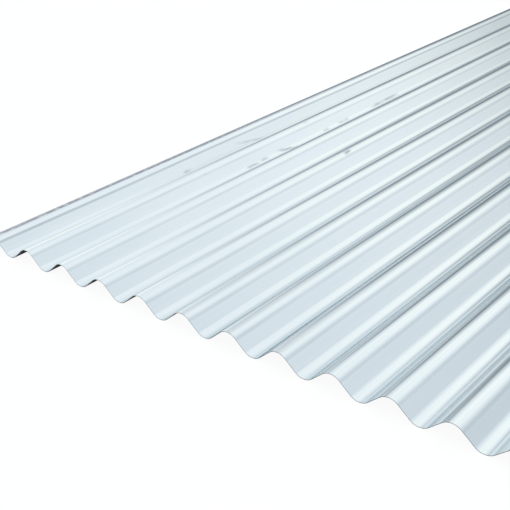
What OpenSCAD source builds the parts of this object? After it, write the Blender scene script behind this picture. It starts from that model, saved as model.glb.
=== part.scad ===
// Corrugated galvanised steel roofing sheet.
// One length of zinc-coated strip, rolled into round waves that run along its length.
// X runs across the waves, Y along them and Z up. The sheet lies on its troughs, with the
// origin under its middle.

/* [Sheet] */
// Length along the waves
sheet_length = 2000; // [500:50:6000]
// Thickness of the metal, with its zinc
gauge = 0.7; // [0.4:0.05:1.2]

/* [Waves] */
// Distance from one crest to the next
pitch = 76; // [60:1:100]
// Height of the sheet, from the underside of its troughs to the top of its crests
depth = 22.5; // [15:0.5:26]
// Slope of the straight flank between a crest and a trough, in degrees
flank_angle = 41; // [33:1:50]
// Number of crests across the sheet
crest_count = 12; // [4:1:20]
// How far each side edge turns into the trough outside its last flank, in degrees
edge_turn = 18; // [2:1:30]

/* [Hidden] */
$fn = 180;

// Each bend is drawn this much proud of its flanks, so that it crosses them cleanly
overrun = pitch / 40000;
// A quarter of a wave is one bend and half a flank, so its run and its rise give the radius
// to the middle of the metal
rise = (depth - gauge) / 2 - overrun;
bend_radius = (pitch / 4 * tan(flank_angle) - rise) / (1 / cos(flank_angle) - 1);

crest_centre = depth / 2 + rise - bend_radius;
trough_centre = depth / 2 - rise + bend_radius;
// Level below every bend, where the area under a face of the metal ends
base = -2 * bend_radius;

function crest_x(i) = (i - (crest_count - 1) / 2) * pitch;
function trough_x(i) = crest_x(i) + pitch / 2;
function on_crest(i, radius, angle) =
    [crest_x(i) + radius * sin(angle), crest_centre + radius * cos(angle)];
function on_trough(i, radius, angle) =
    [trough_x(i) + radius * sin(angle), trough_centre - radius * cos(angle)];

// The area under one face of the metal, which lies the given lift above its middle.
// It runs one wave past the sheet on each side, and the margin further than that.
module under_face(lift, margin) {
    crest_radius = bend_radius + lift;
    trough_radius = bend_radius - lift;
    flanks = [
        for (i = [crest_count : -1 : -1])
            each [
                on_trough(i, trough_radius, flank_angle),
                on_trough(i, trough_radius, -flank_angle),
                on_crest(i, crest_radius, flank_angle),
                on_crest(i, crest_radius, -flank_angle)
            ]
    ];
    left = [crest_x(-1) - pitch - margin, base - margin];
    right = [trough_x(crest_count) + pitch + margin, base - margin];
    difference() {
        union() {
            polygon(concat([left, right], flanks));
            for (i = [-1 : crest_count])
                translate([crest_x(i), crest_centre]) circle(crest_radius + overrun);
        }
        for (i = [-1 : crest_count])
            translate([trough_x(i), trough_centre]) circle(trough_radius + overrun);
    }
}

// All that lies beyond the right-hand edge, cut square to the metal
module beyond_edge() {
    reach = 3 * pitch;
    turn = edge_turn - flank_angle;
    translate([trough_x(crest_count - 1), trough_centre])
        polygon([
            [0, 0],
            [reach * sin(turn), -reach * cos(turn)],
            [reach, -reach],
            [reach, reach],
            [0, reach]
        ]);
}

module section() {
    difference() {
        under_face(gauge / 2, 0);
        under_face(-gauge / 2, gauge);
        beyond_edge();
        mirror([1, 0]) beyond_edge();
    }
}

module corrugated_sheet() {
    color([0.80, 0.84, 0.87])
        rotate([90, 0, 0])
            linear_extrude(sheet_length, center = true) section();
}

corrugated_sheet();
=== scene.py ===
"""Corrugated galvanised sheet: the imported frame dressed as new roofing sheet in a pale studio."""
import logging
import math
from dataclasses import dataclass, field
from enum import Enum
from typing import Any, Optional, Union

import bpy
import numpy as np
from mathutils import Matrix, Vector


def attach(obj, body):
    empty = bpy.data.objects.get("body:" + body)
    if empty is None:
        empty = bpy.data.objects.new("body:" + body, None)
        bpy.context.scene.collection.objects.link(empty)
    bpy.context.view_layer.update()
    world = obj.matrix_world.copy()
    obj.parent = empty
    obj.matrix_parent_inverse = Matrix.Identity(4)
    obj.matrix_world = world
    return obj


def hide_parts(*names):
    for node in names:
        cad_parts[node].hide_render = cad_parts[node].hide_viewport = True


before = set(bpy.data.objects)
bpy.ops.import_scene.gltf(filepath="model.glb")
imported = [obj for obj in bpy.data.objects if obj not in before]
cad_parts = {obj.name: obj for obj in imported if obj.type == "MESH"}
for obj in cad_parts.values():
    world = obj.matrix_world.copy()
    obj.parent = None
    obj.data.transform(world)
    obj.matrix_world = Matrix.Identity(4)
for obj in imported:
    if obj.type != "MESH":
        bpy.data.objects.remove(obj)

LOG = logging.getLogger("corrugated_sheet")
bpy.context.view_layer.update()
NODE = "corrugated_sheet"
# Name of the UV map that holds the sheet's flat coordinates
FLAT_MAP = "flat"

Colour = tuple[float, float, float]
Place = tuple[float, float, float]
WHITE: Colour = (1.0, 1.0, 1.0)
# Middle of a noise, which runs from 0 to 1
MID_NOISE = 0.5


class Operation(Enum):
    """Math node operations that the shader expressions use."""

    ADD = "ADD"
    SUBTRACT = "SUBTRACT"
    MULTIPLY = "MULTIPLY"
    ABSOLUTE = "ABSOLUTE"
    WRAP = "WRAP"
    ARCSINE = "ARCSINE"
    ARCTAN2 = "ARCTAN2"


class MixSocket(Enum):
    """A Mix node's sockets for colours, by number because their names repeat for each data type."""

    FACTOR = 0
    RESULT = 2
    FIRST = 6
    SECOND = 7


class Face(Enum):
    """The two faces of the metal, by which side of its middle they lie on."""

    UPPER = 1
    UNDER = -1


class Signal:
    """One output socket of a node tree, with Python's operators standing for Math nodes."""

    def __init__(self, tree: bpy.types.NodeTree, socket: bpy.types.NodeSocket) -> None:
        """Keep the tree and the socket that this signal reads."""
        self.tree = tree
        self.socket = socket

    @staticmethod
    def node(tree: bpy.types.NodeTree, kind: str, settings: Optional[dict[str, Any]] = None,
             inputs: Optional[dict[Any, Any]] = None, output: Union[int, str] = 0) -> "Signal":
        """Add any node and return one of its outputs.

        Args:
            tree: The node tree that gets the node.
            kind: The node's type, such as ShaderNodeTexNoise.
            settings: Attributes set before the sockets.
            inputs: Socket name or number to a signal, a number or a colour.
            output: Name or number of the output that is wanted.

        Returns:
            The wanted output as a signal.
        """
        made = tree.nodes.new(kind)
        for name, value in (settings or {}).items():
            setattr(made, name, value)
        for name, value in (inputs or {}).items():
            socket = made.inputs[name]
            if isinstance(value, Signal):
                tree.links.new(value.socket, socket)
            elif isinstance(value, tuple) and socket.type == "RGBA":
                socket.default_value = (*value, 1.0)
            else:
                socket.default_value = value
        return Signal(tree, made.outputs[output])

    def add(self, kind: str, settings: Optional[dict[str, Any]] = None,
            inputs: Optional[dict[Any, Any]] = None, output: Union[int, str] = 0) -> "Signal":
        """Add a node to this signal's own tree."""
        return Signal.node(self.tree, kind, settings, inputs, output)

    def _math(self, operation: Operation, *values: Any) -> "Signal":
        """Add one Math node for the values."""
        return self.add("ShaderNodeMath", {"operation": operation.value}, dict(enumerate(values)))

    def __add__(self, other: Any) -> "Signal":
        """This plus other."""
        return self._math(Operation.ADD, self, other)

    def __radd__(self, other: Any) -> "Signal":
        """Other plus this."""
        return self._math(Operation.ADD, other, self)

    def __sub__(self, other: Any) -> "Signal":
        """This minus other."""
        return self._math(Operation.SUBTRACT, self, other)

    def __rsub__(self, other: Any) -> "Signal":
        """Other minus this."""
        return self._math(Operation.SUBTRACT, other, self)

    def __mul__(self, other: Any) -> "Signal":
        """This times other."""
        return self._math(Operation.MULTIPLY, self, other)

    def __rmul__(self, other: Any) -> "Signal":
        """Other times this."""
        return self._math(Operation.MULTIPLY, other, self)

    def __abs__(self) -> "Signal":
        """This without its sign."""
        return self._math(Operation.ABSOLUTE, self)

    def wrap(self, low: float, high: float) -> "Signal":
        """This brought between low and high by whole steps of their distance."""
        return self._math(Operation.WRAP, self, high, low)

    def rise(self) -> "Signal":
        """Angle, in degrees, whose sine this is."""
        return self._math(Operation.ARCSINE, self) * math.degrees(1.0)

    def bearing(self, ahead: "Signal") -> "Signal":
        """Angle, in degrees, of a point this far aside and the given distance ahead."""
        return self._math(Operation.ARCTAN2, self, ahead) * math.degrees(1.0)

    def axis(self, name: str) -> "Signal":
        """One component, X, Y or Z, of a vector."""
        return self.add("ShaderNodeSeparateXYZ", inputs={0: self}, output=name)

    def smooth(self, low: float, high: float) -> "Signal":
        """Zero below low, one above high and smooth between them."""
        return self.add("ShaderNodeMapRange", {"interpolation_type": "SMOOTHSTEP"},
                        {"Value": self, "From Min": low, "From Max": high})

    def line(self, place: float, half_width: float, fade: float) -> "Signal":
        """One within half_width of place, falling to zero over fade."""
        return 1.0 - abs(self - place).smooth(half_width, half_width + fade)

    def blend(self, first: Any, second: Any) -> "Signal":
        """Colour that goes from the first to the second as this goes from 0 to 1."""
        inputs = {MixSocket.FACTOR.value: self, MixSocket.FIRST.value: first, MixSocket.SECOND.value: second}
        return self.add("ShaderNodeMix", {"data_type": "RGBA"}, inputs, MixSocket.RESULT.value)

    def feed(self, shader: bpy.types.Node, name: str) -> None:
        """Link this to a shader's input."""
        self.tree.links.new(self.socket, shader.inputs[name])


@dataclass(frozen=True)
class Ramp:
    """A soft step of a signal between two places or angles.

    Attributes:
        low: Where it starts.
        high: Where it is complete.
    """

    low: float
    high: float

    def up(self, signal: Signal) -> Signal:
        """Zero before the step and one after it."""
        return signal.smooth(self.low, self.high)

    def down(self, signal: Signal) -> Signal:
        """One before the step and zero after it."""
        return 1.0 - signal.smooth(self.low, self.high)


@dataclass(frozen=True)
class Stripe:
    """A soft stripe along the waves.

    Attributes:
        place: Where its middle lies across, in metres.
        half_width: Half the width of its full part.
        fade: Distance over which it falls to nothing.
        weight: How strong it is, from 0 to 1.
    """

    place: float
    half_width: float
    fade: float
    weight: float

    def mask(self, across: Signal, start: float = 0.0) -> Signal:
        """One on the stripe, whose place is counted from start, and zero away from it."""
        return across.line(start + self.place, self.half_width, self.fade)


@dataclass(frozen=True)
class Texture:
    """Noise drawn out over the flat sheet.

    Attributes:
        across: Features that a metre holds across the sheet.
        along: Features that a metre holds along it.
        detail: Finer layers of noise in it.
    """

    across: float
    along: float
    detail: float = 1.0

    def on(self, flat: Signal) -> Signal:
        """Make the noise, which runs from 0 to 1.

        Args:
            flat: The sheet's flat coordinates.

        Returns:
            The noise as a signal.
        """
        scale = (self.across, self.along, 1.0)
        spread = flat.add("ShaderNodeMapping", inputs={"Vector": flat, "Scale": scale})
        return spread.add("ShaderNodeTexNoise", {"noise_dimensions": "2D"},
                          {"Vector": spread, "Scale": 1.0, "Detail": self.detail})


@dataclass(frozen=True)
class Section:
    """The wave's section: arcs on the crests and in the troughs, and straight flanks between them.

    Attributes:
        gauge: Thickness of the metal, in metres.
        pitch: Distance from crest to crest.
        depth: Height of a wave between the middles of the metal.
        flank_angle: Slope of the flanks, in degrees.
    """

    gauge: float = 0.0007
    pitch: float = 0.076
    depth: float = 0.0218
    flank_angle: float = 41.0

    @property
    def slope(self) -> float:
        """Slope of the flanks, in radians."""
        return math.radians(self.flank_angle)

    @property
    def radius(self) -> float:
        """Radius of the bends at the middle of the metal."""
        return (self.pitch / 4 * math.tan(self.slope) - self.depth / 2) / (1 / math.cos(self.slope) - 1)

    @property
    def bend_run(self) -> float:
        """Developed length of half a bend."""
        return self.radius * self.slope

    @property
    def flank_run(self) -> float:
        """Developed length of a flank."""
        return 2 * (self.pitch / 4 - self.radius * math.sin(self.slope)) / math.cos(self.slope)

    @property
    def half_wave(self) -> float:
        """Developed length from a crest to the next trough."""
        return 2 * self.bend_run + self.flank_run

    def middle(self, run: np.ndarray, crests: int) -> tuple[np.ndarray, np.ndarray, np.ndarray]:
        """Place and tilt of the middle of the metal at developed distances across the sheet.

        Folded to the distance from the nearest crest, a half wave is an arc about the crest's
        centre, a straight flank and an arc about the trough's centre.

        Args:
            run: Developed distances from the middle of crest 1.
            crests: Number of crests on the sheet.

        Returns:
            The places across, the heights above the trough and the tilts of the normal to the
            right, in radians.
        """
        wave = 2 * self.half_wave
        crest = np.clip(np.round(run / wave), 0, crests - 1)
        off_crest = run - crest * wave
        side = np.sign(off_crest)
        fold = np.abs(off_crest)
        radius, slope = self.radius, self.slope
        turn = np.clip(fold / radius, 0, slope)
        back = np.clip((self.half_wave - fold) / radius, 0, slope)
        along = np.clip(fold - self.bend_run, 0, self.flank_run)
        parts = [fold <= self.bend_run, fold < self.bend_run + self.flank_run]
        shoulder_x = radius * math.sin(slope)
        shoulder_z = self.depth - radius * (1 - math.cos(slope))
        x = np.select(
            parts, [radius * np.sin(turn), shoulder_x + along * math.cos(slope)],
            self.pitch / 2 - radius * np.sin(back))
        z = np.select(
            parts, [self.depth - radius * (1 - np.cos(turn)), shoulder_z - along * math.sin(slope)],
            radius * (1 - np.cos(back)))
        tilt = np.select(parts, [turn, np.full_like(fold, slope)], back)
        across = (crest - (crests - 1) / 2) * self.pitch + side * x
        return across, z, side * tilt


@dataclass(frozen=True)
class FlatSheet:
    """The sheet's own flat coordinates, as signals.

    Attributes:
        place: Both coordinates as one vector.
        across: Developed distance from crest 1, in metres.
        along: Place along the sheet.
        off_crest: Developed distance to the right of the nearest crest, wandering a little.
        fold: The same without its side.
    """

    place: Signal
    across: Signal
    along: Signal
    off_crest: Signal
    fold: Signal

    @staticmethod
    def read(tree: bpy.types.NodeTree, section: Section, wander: Texture, reach: float) -> "FlatSheet":
        """Read the coordinates from the sheet's UV map.

        Args:
            tree: The material's node tree.
            section: The wave, which gives the distance from crest to crest.
            wander: Noise by which the lines along the waves stray.
            reach: How far they stray in all, in metres.

        Returns:
            The coordinates.
        """
        place = Signal.node(tree, "ShaderNodeUVMap", {"uv_map": FLAT_MAP})
        across = place.axis("X")
        stray = (wander.on(place) - MID_NOISE) * reach
        off_crest = across.wrap(-section.half_wave, section.half_wave) + stray
        return FlatSheet(place, across, place.axis("Y"), off_crest, abs(off_crest))


@dataclass(frozen=True)
class PaintedShadeLines:
    """Painted shade lines along the waves, where the metal shows dark reflections, and along the real roll
    creases.

    Attributes:
        crest: Line past the end of each crest's bend, on both sides, counted from that end: a real roll
            crease, darkened with painted shade.
        left: Painted shade line where the left of each crest runs out into its flank, counted from there.
        trough: Painted shade line where each trough's bend begins, counted from there.
        top: Painted shade line on both sides of each crest's top.
        late: Painted shade line on the left shoulders of the right-hand waves.
        last: Painted shade down the left flanks of the last waves.
        top_shade: Painted shade on the tops of the middle crests.
        crest_patches: What the crest lines gain in the darker patches.
        crest_first: What they gain on the first wave.
        left_patches: What the left lines gain in the darker patches.
        late_start: Where the right-hand waves begin, across the sheet.
        last_start: Where the last waves begin.
        middle_start: Where the middle crests begin.
        middle_end: Where they end.
    """

    crest: Stripe = Stripe(0.0022, 0.0008, 0.0024, weight=0.08)
    left: Stripe = Stripe(0.0, 0.0018, 0.0024, weight=0.35)
    trough: Stripe = Stripe(0.0, 0.0002, 0.0012, weight=0.05)
    top: Stripe = Stripe(0.0052, 0.0002, 0.0012, weight=0.06)
    late: Stripe = Stripe(-0.0106, 0.0013, 0.0018, weight=0.75)
    last: Stripe = Stripe(-0.0255, 0.004, 0.005, weight=0.25)
    top_shade: Stripe = Stripe(0.0008, 0.0016, 0.004, weight=0.3)
    crest_patches: float = 0.26
    crest_first: float = 0.36
    left_patches: float = 0.3
    late_start: Ramp = Ramp(0.5, 0.66)
    last_start: Ramp = Ramp(0.8, 0.87)
    middle_start: Ramp = Ramp(0.38, 0.47)
    middle_end: Ramp = Ramp(0.62, 0.71)

    def on_crests(self, sheet: FlatSheet, section: Section) -> Signal:
        """One on the crest lines and zero away from them."""
        return self.crest.mask(sheet.fold, section.bend_run)

    def mask(self, sheet: FlatSheet, section: Section, patches: Signal, first: Signal) -> Signal:
        """All the lines together, each its stripe times its weight and its part of the sheet.

        Args:
            sheet: The sheet's flat coordinates.
            section: The wave, for the places of its bends.
            patches: Noise of the patches where the lines are darker.
            first: One on the first wave and zero past it.

        Returns:
            How much painted shade the lines put on the zinc.
        """
        crest_weight = self.crest.weight + self.crest_patches * patches + self.crest_first * first
        left_weight = self.left.weight + self.left_patches * patches
        trough_start = section.half_wave - section.bend_run
        middle = self.middle_start.up(sheet.across) * self.middle_end.down(sheet.across)
        # Each stripe is painted shade; the crest stripe also lies on the real roll crease.
        shade_and_wear = self.on_crests(sheet, section) * crest_weight
        shade_and_wear = shade_and_wear + self.left.mask(sheet.off_crest, -section.bend_run) * left_weight
        shade_and_wear = shade_and_wear + self.trough.mask(sheet.fold, trough_start) * self.trough.weight
        shade_and_wear = shade_and_wear + self.top.mask(sheet.fold) * self.top.weight
        shade_and_wear = shade_and_wear + self.late.mask(sheet.off_crest) * self.late_start.up(sheet.across) * self.late.weight
        shade_and_wear = shade_and_wear + self.last.mask(sheet.off_crest) * self.last_start.up(sheet.across) * self.last.weight
        return shade_and_wear + self.top_shade.mask(sheet.off_crest) * middle * self.top_shade.weight


@dataclass(frozen=True)
class FirstWave:
    """The first wave's marks: a dark stripe along its crest, and painted shade down its flank and in its
    trough.

    Attributes:
        end: Where its own marks end, across the sheet.
        dark_rim: Dark stripe along its crest, whose weight is the least darkness in it.
        specks: Texture that breaks the dark stripe up.
        speck_levels: Levels of that texture from light to dark.
        speck_weight: What the specks add to the dark stripe.
        fading: Stretch along the sheet over which the dark stripe fades and moves across.
        fading_shift: How far it moves there, in metres.
        fading_loss: Share of it that goes there.
        flank_shade: How much painted shade is on its flank.
        trough: Where its trough begins, as a distance from the crest.
        trough_shade: How much painted shade is in its trough.
        shade_start: Stretch along the sheet over which the painted shade begins.
    """

    end: Ramp = Ramp(0.036, 0.044)
    dark_rim: Stripe = Stripe(-0.0034, 0.0052, 0.0022, weight=0.4)
    specks: Texture = Texture(260.0, 95.0)
    speck_levels: Ramp = Ramp(0.2, 0.6)
    speck_weight: float = 0.4
    fading: Ramp = Ramp(-0.8, -0.1)
    fading_shift: float = 0.003
    fading_loss: float = 0.7
    flank_shade: float = 0.09
    trough: Ramp = Ramp(0.032, 0.038)
    trough_shade: float = 0.25
    shade_start: Ramp = Ramp(-0.8, -0.5)

    def rim_mask(self, sheet: FlatSheet) -> Signal:
        """The dark stripe along the first crest, broken up by the specks and fading along the sheet.

        Args:
            sheet: The sheet's flat coordinates.

        Returns:
            How dark the stripe makes the zinc.
        """
        far = self.fading.up(sheet.along)
        stripe = self.dark_rim.mask(sheet.across - self.fading_shift * far)
        specks = self.speck_levels.up(self.specks.on(sheet.place))
        return stripe * (specks * self.speck_weight + self.dark_rim.weight) * (1.0 - self.fading_loss * far)

    def painted_shade_mask(self, sheet: FlatSheet, section: Section) -> Signal:
        """The painted shade: a little that grows down the upper flank and more in the trough.

        Args:
            sheet: The sheet's flat coordinates.
            section: The wave, for the place of its flank.

        Returns:
            How much painted shade is on the zinc.
        """
        upper_flank = Ramp(section.bend_run, section.half_wave / 2)
        # Painted shade down the first wave's flank and in its trough
        first_shade = upper_flank.up(sheet.fold) * self.flank_shade
        first_shade = first_shade + self.trough.up(sheet.fold) * self.trough_shade
        return first_shade * self.end.down(sheet.across) * self.shade_start.up(sheet.along)


@dataclass(frozen=True)
class Scuff:
    """One stroke rubbed into the zinc by handling.

    Attributes:
        across: Developed distance of its middle from crest 1, in metres.
        along: Place of its middle along the sheet.
        half_length: Half its length along.
        half_width: Half its width across.
        lean: How far it moves across for each metre along.
        strength: How dark it is, from 0 to 1.
        full_share: Share of each half that is at full strength.
        width_fade: Share of the half width over which its sides fade.
        length_fade: Share of the half length over which its ends fade.
        smear_levels: Levels of the smearing noise from bare to full.
    """

    across: float
    along: float
    half_length: float
    half_width: float = 0.002
    lean: float = 0.0
    strength: float = 0.65
    full_share: float = 0.3
    width_fade: float = 2.0
    length_fade: float = 1.1
    smear_levels: Ramp = Ramp(0.25, 0.5)

    def mask(self, sheet: FlatSheet, smear: Signal) -> Signal:
        """The stroke: a soft line about its leaning middle, faded at its ends and smeared along.

        Args:
            sheet: The sheet's flat coordinates.
            smear: Noise drawn along the sheet, which thins the stroke in places.

        Returns:
            A signal that is the strength on the stroke and 0 elsewhere.
        """
        on_way = sheet.along - self.along
        beside = sheet.across - self.across - on_way * self.lean
        width, length = self.half_width, self.half_length
        stroke = beside.line(0.0, width * self.full_share, width * self.width_fade)
        stroke = stroke * on_way.line(0.0, length * self.full_share, length * self.length_fade)
        return stroke * self.smear_levels.up(smear) * self.strength


@dataclass(frozen=True)
class ZincFinish:
    """New hot-dip zinc on rolled steel, drawn along the waves.

    Attributes:
        scuffs: Strokes of handling.
        roll: Painted shade lines along the waves.
        first_wave: The first wave's dark stripe and painted shade.
        pale: Colour of the bright zinc.
        cool: Colour of its duller, bluer patches.
        shade_and_wear: Colour of the painted shade lines, the first wave's painted shade and the scuffs.
        rim_dark: Colour of the dark stripe along the first crest.
        grazing: How much of a reflection is kept where the metal is seen almost edge on.
        streaks: Fine streaks along the rolling direction.
        clouds: Broad clouds in the zinc.
        patches: Stretches where the painted shade lines are darker.
        swell: Slow waviness of the metal.
        smear: Smearing of the scuffs.
        wander: Straying of the lines along the waves.
        wander_reach: How far they stray in all, in metres.
        streak_share: Share of the streaks in the zinc's tone; the clouds have the rest.
        tone_levels: Levels of that tone from cool to pale.
        roughness: Spread of the zinc's reflections.
        cloud_roughness: How much the clouds change it.
        streak_roughness: How much the streaks change it.
        shade_and_wear_roughness: What it gains under the painted shade and the scuffs.
        swell_height: Height of the swell, in metres.
        streak_height: Height of the streaks.
        line_depth: Depth of the crest lines.
        shade_and_scuff_depth: Depth of the scuffs and of the first wave's painted shade.
    """

    scuffs: tuple[Scuff, ...] = ()
    roll: PaintedShadeLines = PaintedShadeLines()
    first_wave: FirstWave = FirstWave()
    pale: Colour = (0.837, 0.889, 0.906)
    cool: Colour = (0.811, 0.867, 0.892)
    shade_and_wear: Colour = (0.4, 0.455, 0.49)
    rim_dark: Colour = (0.15, 0.145, 0.22)
    grazing: Colour = (0.9, 0.91, 0.92)
    streaks: Texture = Texture(420.0, 2.5, detail=3.0)
    clouds: Texture = Texture(26.0, 5.0, detail=3.0)
    patches: Texture = Texture(60.0, 9.0, detail=2.0)
    swell: Texture = Texture(9.0, 2.2)
    smear: Texture = Texture(420.0, 26.0)
    wander: Texture = Texture(4.0, 1.6)
    wander_reach: float = 0.003
    streak_share: float = 0.45
    tone_levels: Ramp = Ramp(0.3, 0.7)
    roughness: float = 0.11
    cloud_roughness: float = 0.1
    streak_roughness: float = 0.08
    shade_and_wear_roughness: float = 0.15
    swell_height: float = 0.0007
    streak_height: float = 0.000006
    line_depth: float = 0.00002
    shade_and_scuff_depth: float = 0.00003

    def material(self, section: Section) -> bpy.types.Material:
        """Make the zinc material on the sheet's own flat coordinates.

        The tone goes between the two zinc colours by streaks and clouds along the rolling
        direction. Painted shade lines, the first wave's painted shade and scuffs bring it to the
        darker colour, and the dark stripe along the first crest to its own colour. A slow swell keeps the
        reflections from being ruler straight.

        Args:
            section: The wave, for the places of its bends.

        Returns:
            The material.
        """
        made = bpy.data.materials.new("zinc")
        made.use_nodes = True
        tree = made.node_tree
        shader = tree.nodes["Principled BSDF"]
        sheet = FlatSheet.read(tree, section, self.wander, self.wander_reach)
        streaks = self.streaks.on(sheet.place)
        clouds = self.clouds.on(sheet.place)
        smear = self.smear.on(sheet.place)

        first = self.first_wave.end.down(sheet.across)
        # Painted shade lines along the waves
        roll = self.roll.mask(sheet, section, self.patches.on(sheet.place), first)
        # The first wave's painted shade, then the real scuffs
        shade_and_scuffs = self.first_wave.painted_shade_mask(sheet, section)
        for scuff in self.scuffs:
            shade_and_scuffs = shade_and_scuffs + scuff.mask(sheet, smear)
        shade_and_wear = roll + shade_and_scuffs

        tone = self.tone_levels.up(streaks * self.streak_share + clouds * (1.0 - self.streak_share))
        # Painted shade and the scuffs take the zinc to the darker colour
        zinc = shade_and_wear.blend(tone.blend(self.cool, self.pale), self.shade_and_wear)
        self.first_wave.rim_mask(sheet).blend(zinc, self.rim_dark).feed(shader, "Base Color")
        rough = self.roughness + (clouds - MID_NOISE) * self.cloud_roughness
        rough = rough + (streaks - MID_NOISE) * self.streak_roughness + shade_and_wear * self.shade_and_wear_roughness
        rough.feed(shader, "Roughness")
        height = self.swell.on(sheet.place) * self.swell_height + streaks * self.streak_height
        height = height - self.roll.on_crests(sheet, section) * self.line_depth - shade_and_scuffs * self.shade_and_scuff_depth
        bump = height.add("ShaderNodeBump", inputs={"Height": height, "Distance": 1.0, "Strength": 1.0})
        bump.feed(shader, "Normal")
        shader.inputs["Metallic"].default_value = 1.0
        shader.inputs["Specular Tint"].default_value = (*self.grazing, 1.0)
        return made


@dataclass(frozen=True)
class ShearedEdge:
    """Bare steel where the sheet was cut.

    Attributes:
        steel: Colour of the cut.
        roughness: Spread of its reflections.
    """

    steel: Colour = (0.36, 0.39, 0.41)
    roughness: float = 0.45

    def material(self) -> bpy.types.Material:
        """Make the cut metal's material.

        Returns:
            The material.
        """
        made = bpy.data.materials.new("sheared_steel")
        made.use_nodes = True
        shader = made.node_tree.nodes["Principled BSDF"]
        shader.inputs["Base Color"].default_value = (*self.steel, 1.0)
        shader.inputs["Roughness"].default_value = self.roughness
        shader.inputs["Metallic"].default_value = 1.0
        return made


@dataclass
class CorrugatedSheet:
    """The rolled sheet: one section of bends and flanks carried along its length.

    Attributes:
        section: The wave's section.
        finish: The zinc on it.
        edge: The bare metal of its four cut edges.
        length: Length along the waves, in metres.
        crests: Number of crests.
        edge_turn: How far each side edge turns into its outer trough, in degrees.
        bend_steps: Mesh steps over half a bend.
        flank_steps: Mesh steps down a flank.
        edge_steps: Mesh steps over the turn of a side edge.
        length_steps: Mesh steps along the sheet.
        sharp_angle: Angle between faces, in degrees, past which their edge is sharp.
        clear_waves: Waves left free on the flat map between the marks of the two faces.
    """

    section: Section = field(default_factory=Section)
    finish: ZincFinish = field(default_factory=ZincFinish)
    edge: ShearedEdge = field(default_factory=ShearedEdge)
    length: float = 2.0
    crests: int = 12
    edge_turn: float = 18.0
    bend_steps: int = 8
    flank_steps: int = 3
    edge_steps: int = 3
    length_steps: int = 64
    sharp_angle: float = 50.0
    clear_waves: int = 4

    def stations(self) -> np.ndarray:
        """Places across the sheet where the mesh has a line, as developed distances from crest 1.

        Half a wave has its steps closer on the bends than on the flank; the half waves follow each
        other, and the two ends run down their flank and into the outer trough by the edge's turn.

        Returns:
            The developed distances, in metres, from the left edge to the right one.
        """
        shape = self.section
        whole_wave = 2 * shape.half_wave
        bend = np.linspace(0, shape.bend_run, self.bend_steps + 1)
        flank = shape.bend_run + np.linspace(0, shape.flank_run, self.flank_steps + 1)[1:]
        trough = shape.half_wave - bend[::-1][1:]
        half = np.concatenate([bend, flank, trough])
        edge_run = shape.radius * math.radians(self.edge_turn)
        edge = shape.bend_run + shape.flank_run + np.linspace(0, edge_run, self.edge_steps + 1)[1:]
        outer = np.concatenate([bend, flank, edge])
        down = half[:-1]
        up = shape.half_wave + (shape.half_wave - half[::-1])[:-1]
        wave = np.concatenate([down, up])
        waves = (np.arange(self.crests - 1)[:, None] * whole_wave + wave[None, :]).ravel()
        right = (self.crests - 1) * whole_wave + outer
        return np.concatenate([-outer[:0:-1], waves, right])

    def points(self, run: np.ndarray, along: np.ndarray, face: Face) -> np.ndarray:
        """Points of one face on the grid of developed distance and length.

        Each point is the middle of the metal, moved by half the gauge along its tilted normal.

        Args:
            run: Developed distances across.
            along: Places along the sheet.
            face: Which face of the metal.

        Returns:
            An array of points, first across and then along.
        """
        across, height, tilt = self.section.middle(run, self.crests)
        lift = face.value * self.section.gauge / 2
        grid = np.zeros((len(run), len(along), 3))
        grid[..., 0] = (across + lift * np.sin(tilt))[:, None]
        grid[..., 1] = along[None, :]
        grid[..., 2] = (height + self.section.gauge / 2 + lift * np.cos(tilt))[:, None]
        return grid

    def faces(self, rows: int, columns: int) -> np.ndarray:
        """Quads of the closed sheet: its upper face, its underside and then its four cut edges.

        The points of a face are numbered row by row, and the underside's follow the upper face's.

        Args:
            rows: Number of mesh lines across.
            columns: Number of mesh lines along.

        Returns:
            The quads as rows of four point numbers.
        """
        top, low = np.arange(2 * rows * columns).reshape(2, rows, columns)
        corners = [
            (top[:-1, :-1], top[1:, :-1], top[1:, 1:], top[:-1, 1:]),
            (low[:-1, :-1], low[:-1, 1:], low[1:, 1:], low[1:, :-1]),
            (low[:-1, 0], low[1:, 0], top[1:, 0], top[:-1, 0]),
            (top[:-1, -1], top[1:, -1], low[1:, -1], low[:-1, -1]),
            (low[0, 1:], low[0, :-1], top[0, :-1], top[0, 1:]),
            (top[-1, 1:], top[-1, :-1], low[-1, :-1], low[-1, 1:]),
        ]
        return np.concatenate([np.stack(four, axis=-1).reshape(-1, 4) for four in corners])

    def flat_map(self, run: np.ndarray, along: np.ndarray) -> np.ndarray:
        """Flat coordinates of every point, with the underside's moved clear of the upper face's.

        Args:
            run: Developed distances across.
            along: Places along the sheet.

        Returns:
            An array of developed distance and place along.
        """
        upper = np.stack(np.meshgrid(run, along, indexing="ij"), axis=-1).reshape(-1, 2)
        away = 2 * self.section.half_wave * (self.crests + self.clear_waves)
        return np.concatenate([upper, upper + np.array([away, 0.0])])

    def build(self) -> bpy.types.Object:
        """Make the closed sheet: two faces of the metal joined by its four cut edges.

        Returns:
            The sheet's object, at the origin.
        """
        run = self.stations()
        along = np.linspace(-self.length / 2, self.length / 2, self.length_steps + 1)
        rows, columns = len(run), len(along)
        places = np.concatenate([self.points(run, along, face).reshape(-1, 3) for face in Face])
        faces = self.faces(rows, columns)

        mesh = bpy.data.meshes.new("sheet")
        mesh.from_pydata(places.tolist(), [], faces.tolist())
        layer = mesh.uv_layers.new(name=FLAT_MAP)
        corner = np.zeros(len(mesh.loops), dtype=np.int32)
        mesh.loops.foreach_get("vertex_index", corner)
        layer.data.foreach_set("uv", self.flat_map(run, along)[corner].astype(np.float32).ravel())
        mesh.polygons.foreach_set("use_smooth", np.ones(len(faces), dtype=bool))
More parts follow.
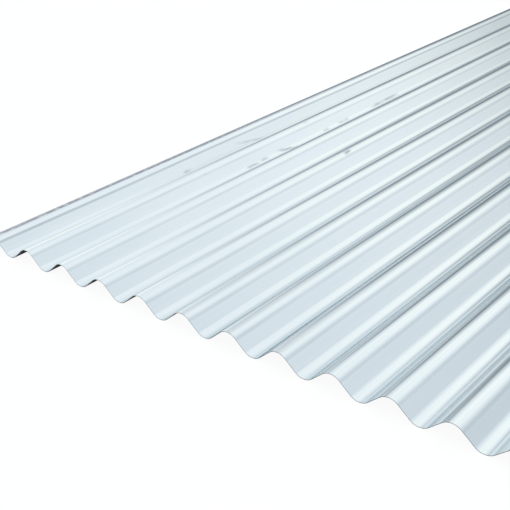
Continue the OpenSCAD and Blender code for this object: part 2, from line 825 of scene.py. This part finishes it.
        # The quads after those of the two faces are the cut edges, in the second material
        cut = np.arange(len(faces)) >= 2 * (rows - 1) * (columns - 1)
        mesh.polygons.foreach_set("material_index", cut.astype(np.int32))
        mesh.set_sharp_from_angle(angle=math.radians(self.sharp_angle))
        mesh.update()
        made = bpy.data.objects.new("rolled_sheet", mesh)
        bpy.context.collection.objects.link(made)
        return made

    def dress(self, piece: bpy.types.Object) -> None:
        """Give the sheet its finish and tie it to the frame.

        Args:
            piece: The sheet's object.
        """
        piece.data.materials.append(self.finish.material(self.section))
        piece.data.materials.append(self.edge.material())
        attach(piece, "root")
        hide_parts(NODE)


@dataclass(frozen=True)
class Floor:
    """A plain pale floor, white to the camera but for a soft shadow.

    Attributes:
        half_side: Half the side of the floor, in metres.
        level: Its height, just under the sheet so that the two never share a plane.
        colour: Its colour where light falls on it.
        roughness: Spread of its reflections.
        gloss: Strength of its reflections.
        glow: Strength of the white that the camera sees in it.
        glow_share: Share of that white in what the camera sees.
    """

    half_side: float = 30.0
    level: float = -0.0004
    colour: Colour = (0.5, 0.51, 0.53)
    roughness: float = 0.9
    gloss: float = 0.1
    glow: float = 1.09
    glow_share: float = 0.86

    def build(self) -> bpy.types.Object:
        """Lay the floor as one square.

        Returns:
            The floor's object.
        """
        mesh = bpy.data.meshes.new("floor")
        sides = np.array([(-1, -1), (1, -1), (1, 1), (-1, 1)]) * self.half_side
        corners = np.column_stack([sides, np.full(len(sides), self.level)])
        mesh.from_pydata(corners.tolist(), [], [(0, 1, 2, 3)])
        made = bpy.data.objects.new("floor", mesh)
        bpy.context.collection.objects.link(made)
        return made

    def dress(self, floor: bpy.types.Object) -> None:
        """Paint the floor: a plain pale surface, mixed with white for the camera alone.

        Args:
            floor: The floor's object.
        """
        paint = bpy.data.materials.new("pale_floor")
        paint.use_nodes = True
        tree = paint.node_tree
        shader = tree.nodes["Principled BSDF"]
        shader.inputs["Base Color"].default_value = (*self.colour, 1.0)
        shader.inputs["Roughness"].default_value = self.roughness
        shader.inputs["Specular IOR Level"].default_value = self.gloss
        lit = Signal(tree, shader.outputs[0])
        seen = lit.add("ShaderNodeLightPath", output="Is Camera Ray")
        glow = lit.add("ShaderNodeEmission", inputs={"Color": WHITE, "Strength": self.glow})
        both = lit.add("ShaderNodeMixShader", inputs={0: self.glow_share * seen, 1: lit, 2: glow})
        both.feed(tree.nodes["Material Output"], "Surface")
        floor.data.materials.append(paint)


@dataclass(frozen=True)
class Dome:
    """A soft dome of light with a window ahead, a dimmer right side and a dark low stretch.

    The steps are in degrees: aside from the left to the right, or up from the horizon.

    Attributes:
        bright: Light from the window and from the far left.
        plain: Light from the rest of the dome.
        side: Light from its right side.
        dim: Light from the middle of the dark low stretch.
        window_left: Left side of the window.
        window_right: Its right side.
        window_top: Its top.
        far_left: Where the bright far left ends, aside.
        far_left_top: Where it ends, up.
        right_side: Where the right side begins.
        left_side: Where a weaker left side ends.
        left_share: How much of the side's light the left side takes.
        low_left: Where the dark low stretch begins, aside.
        low_right: Where it weakens.
        low_loss: Share of it that goes there.
        low_top: Where it ends, up.
        brow: Where its top rises, aside.
        brow_rise: How far its top rises.
    """

    bright: Colour = (1.055, 1.085, 1.07)
    plain: Colour = (0.935, 0.983, 1.01)
    side: Colour = (0.778, 0.832, 0.877)
    dim: Colour = (0.235, 0.28, 0.315)
    window_left: Ramp = Ramp(-32.0, -14.0)
    window_right: Ramp = Ramp(8.0, 20.0)
    window_top: Ramp = Ramp(39.0, 49.0)
    far_left: Ramp = Ramp(-53.0, -43.0)
    far_left_top: Ramp = Ramp(32.0, 42.0)
    right_side: Ramp = Ramp(16.0, 38.0)
    left_side: Ramp = Ramp(-38.0, -26.0)
    left_share: float = 0.4
    low_left: Ramp = Ramp(-54.0, -36.0)
    low_right: Ramp = Ramp(6.0, 22.0)
    low_loss: float = 0.65
    low_top: Ramp = Ramp(10.0, 31.0)
    brow: Ramp = Ramp(-36.0, -24.0)
    brow_rise: float = 5.0

    def build(self) -> None:
        """Set the dome by direction, and white to the camera.

        Each part of the dome is a product of soft steps in two angles, in degrees: how far aside a
        direction is, from the left to the right, and how high it is. Behind is as ahead.
        """
        world = bpy.data.worlds.new("dome")
        bpy.context.scene.world = world
        world.use_nodes = True
        tree = world.node_tree
        background = tree.nodes["Background"]
        where = Signal.node(tree, "ShaderNodeTexCoord", output="Generated")
        aside = where.axis("X").bearing(abs(where.axis("Y")))
        up = where.axis("Z").rise()

        window = self.window_left.up(aside) * self.window_right.down(aside) * self.window_top.down(up)
        beyond = self.far_left.down(aside) * self.far_left_top.down(up)
        lit = 1.0 - (1.0 - window) * (1.0 - beyond)
        shade = self.right_side.up(aside) + self.left_share * self.left_side.down(aside)
        under_brow = up - self.brow_rise * self.brow.up(aside)
        low = self.low_top.down(under_brow) * self.low_left.up(aside)
        low = low * (1.0 - self.low_loss * self.low_right.up(aside))
        dome = lit.blend(shade.blend(self.plain, self.side), self.bright)

        seen = where.add("ShaderNodeLightPath", output="Is Camera Ray")
        seen.blend(low.blend(dome, self.dim), WHITE).feed(background, "Color")
        background.inputs["Strength"].default_value = 1.0


@dataclass(frozen=True)
class PhotoCamera:
    """The photograph's viewpoint.

    Attributes:
        place: Where the lens is, in metres.
        aim: The point that the middle of the picture shows.
        roll: Turn about the line of sight, in degrees.
        lens: Focal length, in millimetres.
        sensor: Width of the picture on the sensor, in millimetres.
        reach: How far it sees, in metres.
    """

    place: Place = (0.71159, -1.74166, 0.63384)
    aim: Place = (-0.07962, -0.80266, 0.010)
    roll: float = -2.2463
    lens: float = 68.4581
    sensor: float = 36.0
    reach: float = 200.0

    def build(self) -> bpy.types.Object:
        """Make the camera and give it to the scene.

        Its axes are the line of sight and the level direction across it, turned by the roll.

        Returns:
            The camera's object.
        """
        data = bpy.data.cameras.new("photo_camera")
        data.lens = self.lens
        data.sensor_width = self.sensor
        data.clip_end = self.reach
        made = bpy.data.objects.new("photo_camera", data)
        bpy.context.collection.objects.link(made)
        forward = (Vector(self.aim) - Vector(self.place)).normalized()
        level = forward.cross(Vector((0, 0, 1))).normalized()
        upright = level.cross(forward)
        turn = math.radians(self.roll)
        right = level * math.cos(turn) + upright * math.sin(turn)
        up = right.cross(forward)
        axes = Matrix((right, up, -forward)).transposed()
        made.matrix_world = Matrix.Translation(self.place) @ axes.to_4x4()
        bpy.context.scene.camera = made
        return made


# Strokes on the first, second and fourth waves, placed from crest 1 and from the sheet's middle
SCUFFS = (
    Scuff(across=0.1278, along=-0.524, half_length=0.016, strength=0.8),
    Scuff(across=0.1261, along=-0.490, half_length=0.011),
    Scuff(across=0.1288, along=-0.422, half_length=0.024, half_width=0.0024, lean=0.2, strength=0.85),
    Scuff(across=0.0960, along=-0.334, half_length=0.009, lean=0.1, strength=0.2),
    Scuff(across=0.1270, along=-0.302, half_length=0.010, strength=0.45),
    Scuff(across=0.1261, along=-0.242, half_length=0.017, strength=0.6),
    Scuff(across=0.1258, along=-0.121, half_length=0.022, strength=0.75),
    Scuff(across=0.1254, along=-0.071, half_length=0.028, strength=0.78),
    Scuff(across=0.0336, along=-0.434, half_length=0.034, lean=0.17, strength=0.35),
    Scuff(across=0.0365, along=-0.609, half_length=0.010, strength=0.6),
    Scuff(across=0.1050, along=-0.628, half_length=0.004, half_width=0.0015, strength=0.25),
    Scuff(across=0.2770, along=-0.418, half_length=0.010, half_width=0.0026, strength=0.95),
)


def main() -> None:
    """Build the camera, the studio and the sheet in order."""
    logging.basicConfig(level=logging.INFO)
    scene = bpy.context.scene
    scene.view_settings.view_transform = "Standard"
    PhotoCamera().build()
    floor = Floor()
    floor.dress(floor.build())
    Dome().build()
    sheet = CorrugatedSheet(finish=ZincFinish(scuffs=SCUFFS))
    piece = sheet.build()
    sheet.dress(piece)
    LOG.info("%s: %d faces", piece.name, len(piece.data.polygons))


if __name__ == "__main__":
    main()
